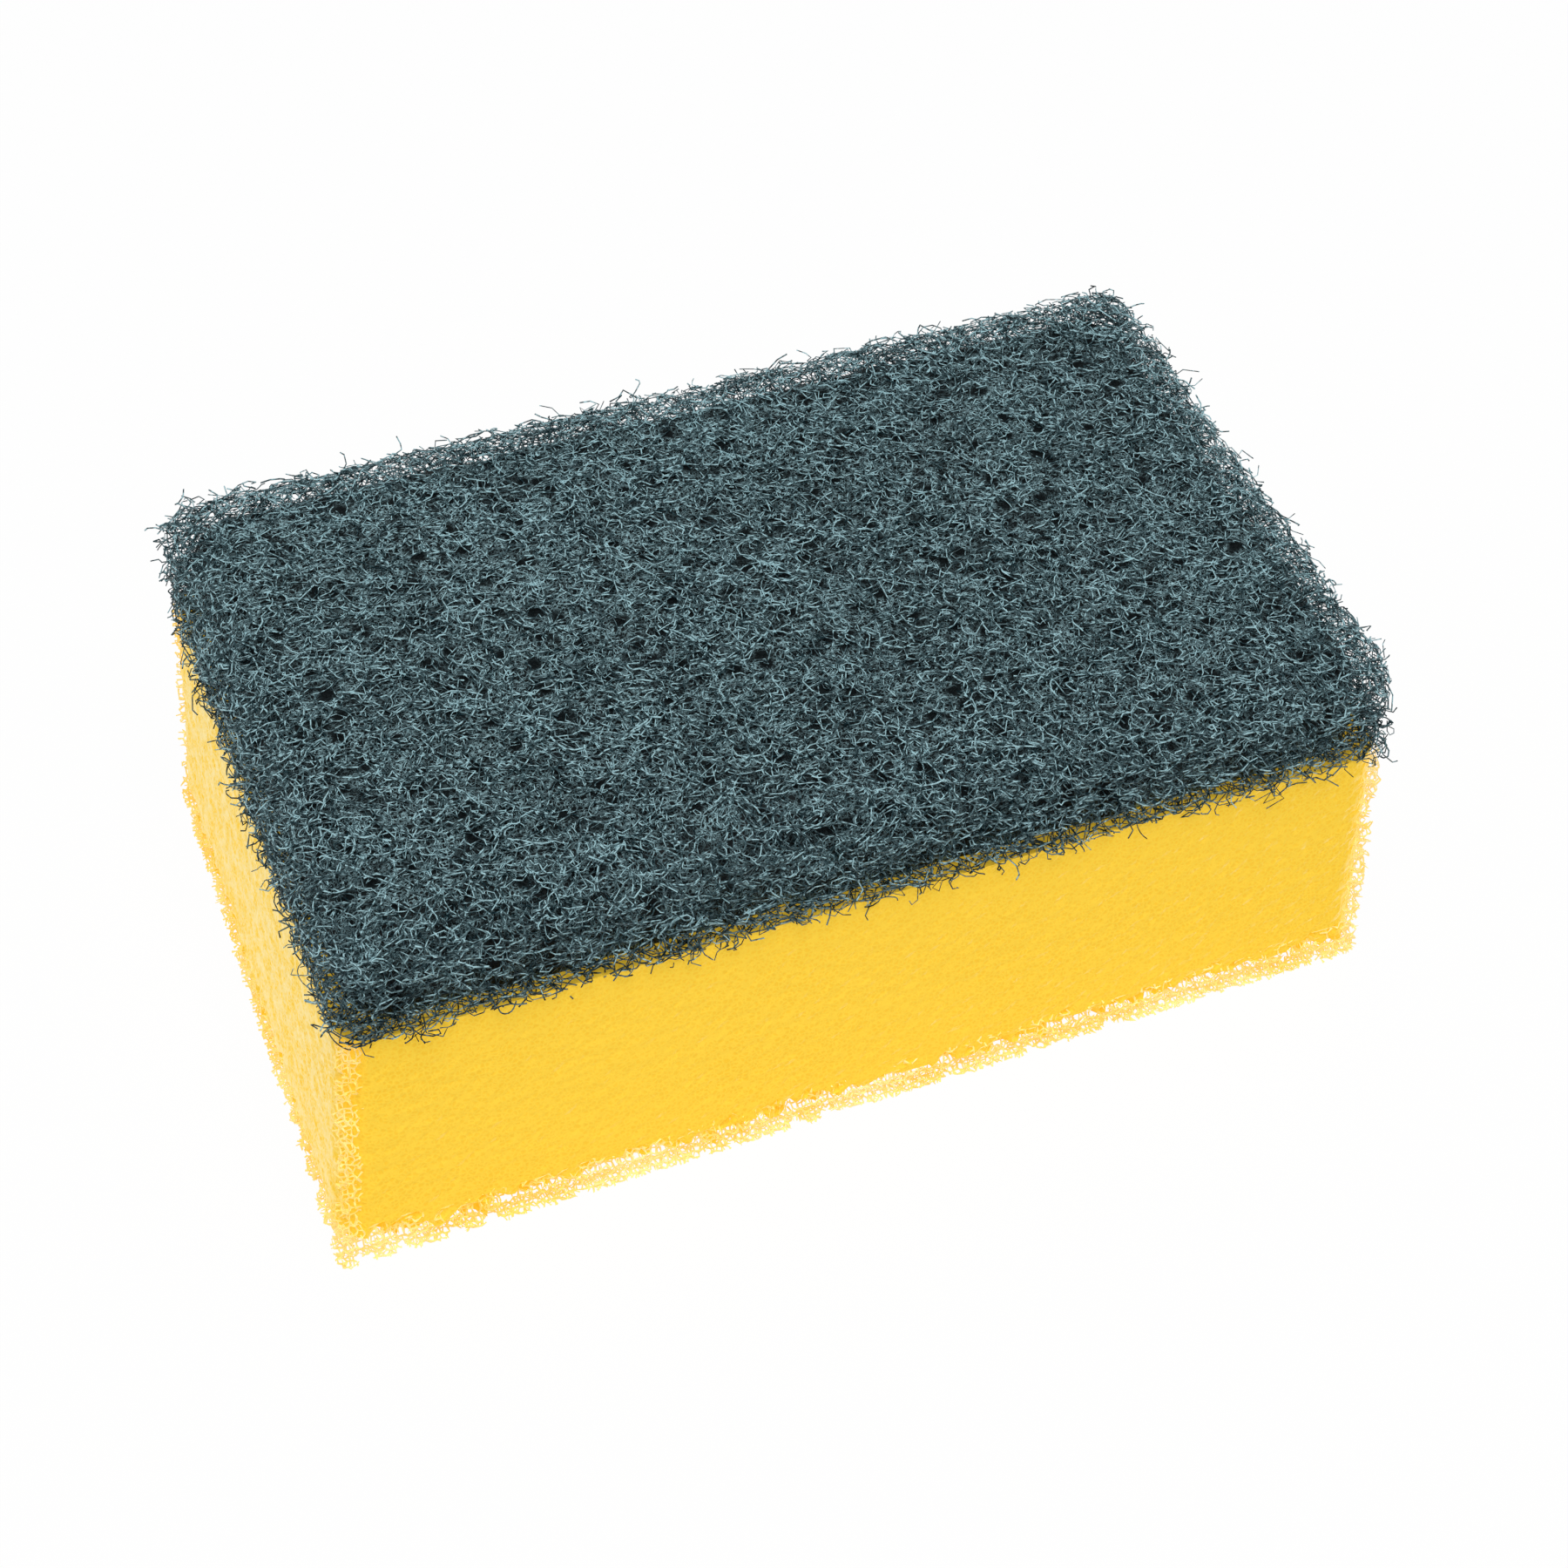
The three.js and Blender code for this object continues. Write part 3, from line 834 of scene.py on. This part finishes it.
# The web's core: its vertices' spacing, edge radius, lumps with their waves, how far below the web's
# middle the lumps swell from, and its gap to the bond
CORE_PITCH, CORE_RADIUS = 1.1 * MM, 4.5 * MM
CORE_LUMPS, LUMP_WAVES = 0.45 * MM, ((1, 5 * MM, 2), (0.8, 1.8 * MM, 9))
LUMP_DROP, BOND_GAP = 2 * MM, 0.02 * MM


def web_corners():
    """The web's lowest and highest corner without its standing strands."""
    low = Vector((*BOND_CORNERS[0], BOND_HEIGHT))
    return low, Vector((*BOND_CORNERS[2], MAT_TOP))


def web_surface(
    name, looks, pitch, side_inset=0, top_inset=0, hem_inset=0, radius=3 * MM, lumps=0, closed=False
):
    """A rounded block under the web's top and sides, open below or closed."""
    low, high = web_corners()
    outline = unit_outline(BLOCK_LENGTH, BLOCK_WIDTH, pitch)
    count = len(outline)
    height = high.z - low.z - top_inset
    side_levels = np.linspace(0, height - radius, max(2, round((height - radius) / pitch)))
    sizes = np.array([BLOCK_LENGTH, BLOCK_WIDTH])
    rings = []
    for level in side_levels:
        fade = max(0, 1 - level / (hem_inset + HEM_FADE))
        rings.append((side_inset + (hem_inset - side_inset) * fade, radius, level))
    for angle in np.linspace(0, math.pi / 2, EDGE_STEPS + 1)[1:]:
        drop = radius * (1 - math.cos(angle))
        rings.append(
            (side_inset + drop, max(radius - drop, LEAST_CORNER), height - radius + radius * math.sin(angle))
        )
    reach = min(sizes) / 2 - side_inset - radius
    for step in range(1, int(reach / pitch)):
        rings.append((side_inset + radius + step * pitch, LEAST_CORNER, height))
    vertices, faces = [], []
    for row, (drawn_in, corner, level) in enumerate(rings):
        shares = rounded_in(outline, np.full(count, drawn_in), corner)
        swell = 1 + looks.swell * (0.5 - shares[:, 0]) * (0.5 + shares[:, 1])
        flat = BOND_CENTRE + shares * sizes
        vertices.append(np.column_stack([flat, low.z + level * swell]))
        if row:
            faces += ring_faces(count, (row - 1) * count, row * count)
    last = (len(rings) - 1) * count
    faces.append(tuple(range(last, last + count)))
    if closed:
        faces.append(tuple(reversed(range(count))))
    vertices = np.concatenate(vertices)
    if lumps:
        middle = np.array([*BOND_CENTRE, (low.z + high.z) / 2 - LUMP_DROP])
        away = vertices - middle
        away /= np.linalg.norm(away, axis=1, keepdims=True)
        rough = lumps * roughness(vertices, LUMP_WAVES)
        vertices = vertices + away * rough[:, None]
        vertices[:, 2] = np.maximum(vertices[:, 2], BOND_HEIGHT + BOND_GAP)
    return new_object(name, vertices, faces)


def everywhere(points):
    """Fibres all over, a little rarer at the hem."""
    full_height = 5 * MM
    return np.clip(0.6 + (points[:, 2] - BOND_HEIGHT) / full_height, 0, 1)


def at_edges(points):
    """Fibres on the sides and along the edges of the top."""
    from_middle = abs(points[:, :2] - BOND_CENTRE)
    to_edge = (np.array([BLOCK_LENGTH, BLOCK_WIDTH]) / 2 - from_middle).min(axis=1)
    fade, fewest = 4 * MM, 0.06
    return np.clip(1.5 - to_edge / fade, fewest, 1)


def at_hem(points):
    """Fibres along the hem, in tufts."""
    height = points[:, 2] - BOND_HEIGHT
    band = np.clip(2 - height / (1.5 * MM), 0, 1)
    tufts = np.clip(0.75 + uneven(points, 5 * MM, 4), 0.25, 1)
    return band * tufts


def fibre_layer(name, looks, tree, material, where, **changes):
    """One layer of curled fibres as a plain mesh."""
    guide = web_surface(name, looks, GUIDE_PITCH, radius=looks.edge_radius)
    points = np.array([v.co for v in guide.data.vertices])
    thinning = guide.data.attributes.new("thinning", "FLOAT", "POINT")
    thinning.data.foreach_set("value", where(points).astype(np.float32))
    low, high = web_corners()
    values = {size: getattr(looks, size.lower().replace(" ", "_")) for size in WEB_SIZES}
    values |= {"Points": 11, "Thickness": looks.fibre, "Tilt": math.radians(14), "Stand Out": 0.12}
    values |= {"Low Corner": low, "High Corner": high, "Hem Height": BOND_HEIGHT, "Material": material}
    grown(guide, tree, {**values, **changes})
    return place_piece(guide)


# Operators


class SCOURER_OT_foam_mass(bpy.types.Operator):
    """Builds the solid mass of the foam with its cut cells"""

    bl_idname = "scourer.foam_mass"
    bl_label = "Foam mass"

    def execute(self, context):
        looks = context.scene.foam_looks
        skin = foam_skin_mesh(looks)
        pits = {"Cell": looks.cell * 0.85, "Pit Depth": looks.pit_depth}
        grown(skin, skin_tree(), {**pits, "Material": foam_material(looks)})
        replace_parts(place_piece(skin), FOAM_NODE)
        return {"FINISHED"}


class SCOURER_OT_foam_lace(bpy.types.Operator):
    """Builds the see-through struts along the foam's cut edges"""

    bl_idname = "scourer.foam_lace"
    bl_label = "Foam lace"

    def execute(self, context):
        looks = context.scene.foam_looks
        points, pairs = lace_wires(looks, lace_region(looks), LACE_SEED)
        lace = new_object("foam_lace", points, [], edges=[tuple(p) for p in pairs.tolist()])
        shape = strut_shape()
        struts = {"Strut": shape, "Thickness": looks.strut, "Seed": STRUT_SEED}
        grown(lace, strut_tree(), {**struts, "Material": lace_material(looks)})
        bpy.data.objects.remove(shape)
        place_piece(lace)
        return {"FINISHED"}


class SCOURER_OT_web_core(bpy.types.Operator):
    """Builds the dense inside of the nylon web, coloured dark as painted shade"""

    bl_idname = "scourer.web_core"
    bl_label = "Web core"

    def execute(self, context):
        looks = context.scene.web_looks
        insets = {"side_inset": looks.side_inset, "top_inset": looks.core_inset, "hem_inset": looks.hem_inset}
        insets |= {"radius": CORE_RADIUS, "lumps": CORE_LUMPS}
        core = web_surface("web_core", looks, CORE_PITCH, **insets, closed=True)
        core.data.materials.append(core_material(looks))
        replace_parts(place_piece(core), WEB_NODE)
        return {"FINISHED"}


class SCOURER_OT_web_fibres(bpy.types.Operator):
    """Grows the curled fibres of the nylon web in layers"""

    bl_idname = "scourer.web_fibres"
    bl_label = "Web fibres"

    def execute(self, context):
        looks = context.scene.web_looks
        tree = fibre_tree()
        # Lit and shaded copies of one fibre material: painted shade on the deep, middle and hem layers,
        # painted light and more glints on the top, crown and loose ones.
        shaded_fibres = fibre_material("Shaded fibres", looks, (0, 0.32))
        lit_fibres = fibre_material("Lit fibres", looks, (0.1, 1))
        per_mm2 = 1 / MM**2

        def all_over(name, material, density, shallowest, deepest, seed, **more):
            """A layer on the whole web: fibres to a square millimetre, and depths in millimetres."""
            depths = {"Shallowest": shallowest * MM, "Deepest": deepest * MM}
            changes = {"Density": density * per_mm2, "Seed": seed, **depths, **more}
            fibre_layer(name, looks, tree, material, everywhere, **changes)

        all_over("web_fibres_deep", shaded_fibres, 0.18, 1, 3.2, seed=10, Points=10)
        all_over("web_fibres_middle", shaded_fibres, 0.32, 0.2, 1.4, seed=30)
        all_over("web_fibres_top", lit_fibres, 0.34, 0, 0.8, seed=50)
        all_over("web_fibres_crown", lit_fibres, 0.34, -0.1, 0.4, seed=70)
        low, high = web_corners()
        loose = {"Density": 0.14 * per_mm2, "Shallowest": -0.5 * MM, "Deepest": 1.2 * MM, "Seed": 90}
        loose |= {"Curl": looks.curl * 1.7, "Curl Pitch": looks.curl_pitch * 1.2}
        loose |= {"Tilt": math.radians(35), "Stand Out": 0.5}
        fibre_layer("web_fibres_loose", looks, tree, lit_fibres, at_edges, **loose)
        hem = {"Density": 2 * per_mm2, "Shallowest": -0.4 * MM, "Deepest": 1.2 * MM, "Seed": 110}
        hem |= {"Curl": looks.curl * 1.4, "Run": looks.run * 0.8, "Tilt": math.radians(50)}
        wider = Vector((0.3, 0.3, 0)) * MM
        hem |= {"Low Corner": low - wider, "High Corner": high + wider}
        hem |= {"Hem Height": BOND_HEIGHT - 1.3 * MM, "Stand Out": 0.5}
        fibre_layer("web_fibres_hem", looks, tree, shaded_fibres, at_hem, **hem)
        return {"FINISHED"}


# The studio, in metres, and the width of the camera's film in millimetres
FLOOR_SIDE = 4
LAMP_SIZE = 0.45
LAMP_PLACE = (-0.06, -0.22, 0.78)
LAMP_AIM = (0, 0, 0.02)
FILM_WIDTH = 36


class SCOURER_OT_studio(bpy.types.Operator):
    """Sets the white floor, the soft light and the photograph's camera"""

    bl_idname = "scourer.studio"
    bl_label = "Studio"

    def execute(self, context):
        setup = context.scene.studio_setup
        half = FLOOR_SIDE / 2
        corners = [(-half, -half, 0), (half, -half, 0), (half, half, 0), (-half, half, 0)]
        floor = new_object("floor", corners, [(0, 1, 2, 3)])
        floor.data.materials.append(white_floor_material())
        set_room(context.scene, setup)
        set_key_light(context.scene, setup)
        set_camera(context.scene, setup)
        context.scene.view_settings.view_transform = "Standard"
        return {"FINISHED"}


def seen_directly(wiring):
    """1 for rays that show the background itself: camera and see-through rays."""
    path = wiring.add("ShaderNodeLightPath").outputs
    return wiring.math("MAXIMUM", path["Is Camera Ray"], path["Is Transmission Ray"])


def white_floor_material():
    """A white floor that keeps a faint shadow."""
    material, wiring, shader = new_material("White floor", roughness=0.9, specular=0)
    shader.inputs["Base Color"].default_value = (FLOOR_WHITE, FLOOR_WHITE, FLOOR_WHITE, 1)
    glow = wiring.add("ShaderNodeEmission", (1, 1, 1, 1), 1.0).outputs[0]
    factor = wiring.times(seen_directly(wiring), FLOOR_GLOW)
    mixed = wiring.add("ShaderNodeMixShader", factor, shader.outputs[0], glow).outputs[0]
    wiring.feed(material.node_tree.nodes["Material Output"].inputs["Surface"], mixed)
    return material


def set_room(scene, setup):
    world = bpy.data.worlds.new("White room")
    world.use_nodes = True
    scene.world = world
    wiring = Wiring(world.node_tree)
    seen = seen_directly(wiring)
    strength = wiring.math("MULTIPLY_ADD", seen, 1 - setup.room_light, setup.room_light)
    background = world.node_tree.nodes["Background"]
    background.inputs["Color"].default_value = (1, 1, 1, 1)
    wiring.feed(background.inputs["Strength"], strength)


def set_key_light(scene, setup):
    lamp = bpy.data.lights.new("key", "AREA")
    lamp.energy = setup.key_power
    lamp.size = LAMP_SIZE
    key = bpy.data.objects.new("key", lamp)
    scene.collection.objects.link(key)
    key.location = LAMP_PLACE
    key.rotation_euler = (Vector(LAMP_AIM) - key.location).to_track_quat("-Z", "Y").to_euler()


def set_camera(scene, setup):
    """The camera as solved from the block's corners in the photograph."""
    azimuth, elevation = setup.azimuth, setup.elevation
    out = math.cos(elevation)
    back = Vector((math.sin(azimuth) * out, -math.cos(azimuth) * out, math.sin(elevation)))
    level = Vector((math.cos(azimuth), math.sin(azimuth), 0))
    upright = back.cross(level)
    right = math.cos(setup.roll) * level + math.sin(setup.roll) * upright
    up = -math.sin(setup.roll) * level + math.cos(setup.roll) * upright
    data = bpy.data.cameras.new("camera")
    data.sensor_width = FILM_WIDTH
    data.lens = setup.focal_pixels * data.sensor_width / IMAGE_SIDE
    data.clip_start, data.clip_end = 0.01, 20
    camera = bpy.data.objects.new("camera", data)
    scene.collection.objects.link(camera)
    place = right * setup.aim_right + up * setup.aim_up + back * setup.distance
    camera.matrix_world = Matrix.Translation(place) @ Matrix((right, up, back)).transposed().to_4x4()
    scene.camera = camera


class SCOURER_PT_panel(bpy.types.Panel):
    """Lists the scourer's sizes and its steps."""

    bl_label = "Scourer"
    bl_idname = "SCOURER_PT_panel"
    bl_space_type = "VIEW_3D"
    bl_region_type = "UI"
    bl_category = "Scourer"

    def draw(self, context):
        for step in STEPS:
            self.layout.operator(step.bl_idname)
        for group in (context.scene.foam_looks, context.scene.web_looks, context.scene.studio_setup):
            box = self.layout.box()
            for name in group.__annotations__:
                box.prop(group, name)


SETTINGS = {"foam_looks": FoamLooks, "web_looks": WebLooks, "studio_setup": StudioSetup}
STEPS = (
    SCOURER_OT_foam_mass,
    SCOURER_OT_foam_lace,
    SCOURER_OT_web_core,
    SCOURER_OT_web_fibres,
    SCOURER_OT_studio,
)


def register():
    for cls in (*SETTINGS.values(), *STEPS, SCOURER_PT_panel):
        bpy.utils.register_class(cls)
    for name, cls in SETTINGS.items():
        setattr(bpy.types.Scene, name, bpy.props.PointerProperty(type=cls))


def unregister():
    for name in SETTINGS:
        delattr(bpy.types.Scene, name)
    for cls in reversed((*SETTINGS.values(), *STEPS, SCOURER_PT_panel)):
        bpy.utils.unregister_class(cls)


def main():
    register()
    for step in STEPS:
        group, operator = step.bl_idname.split(".")
        getattr(getattr(bpy.ops, group), operator)()


if __name__ == "__main__":
    main()
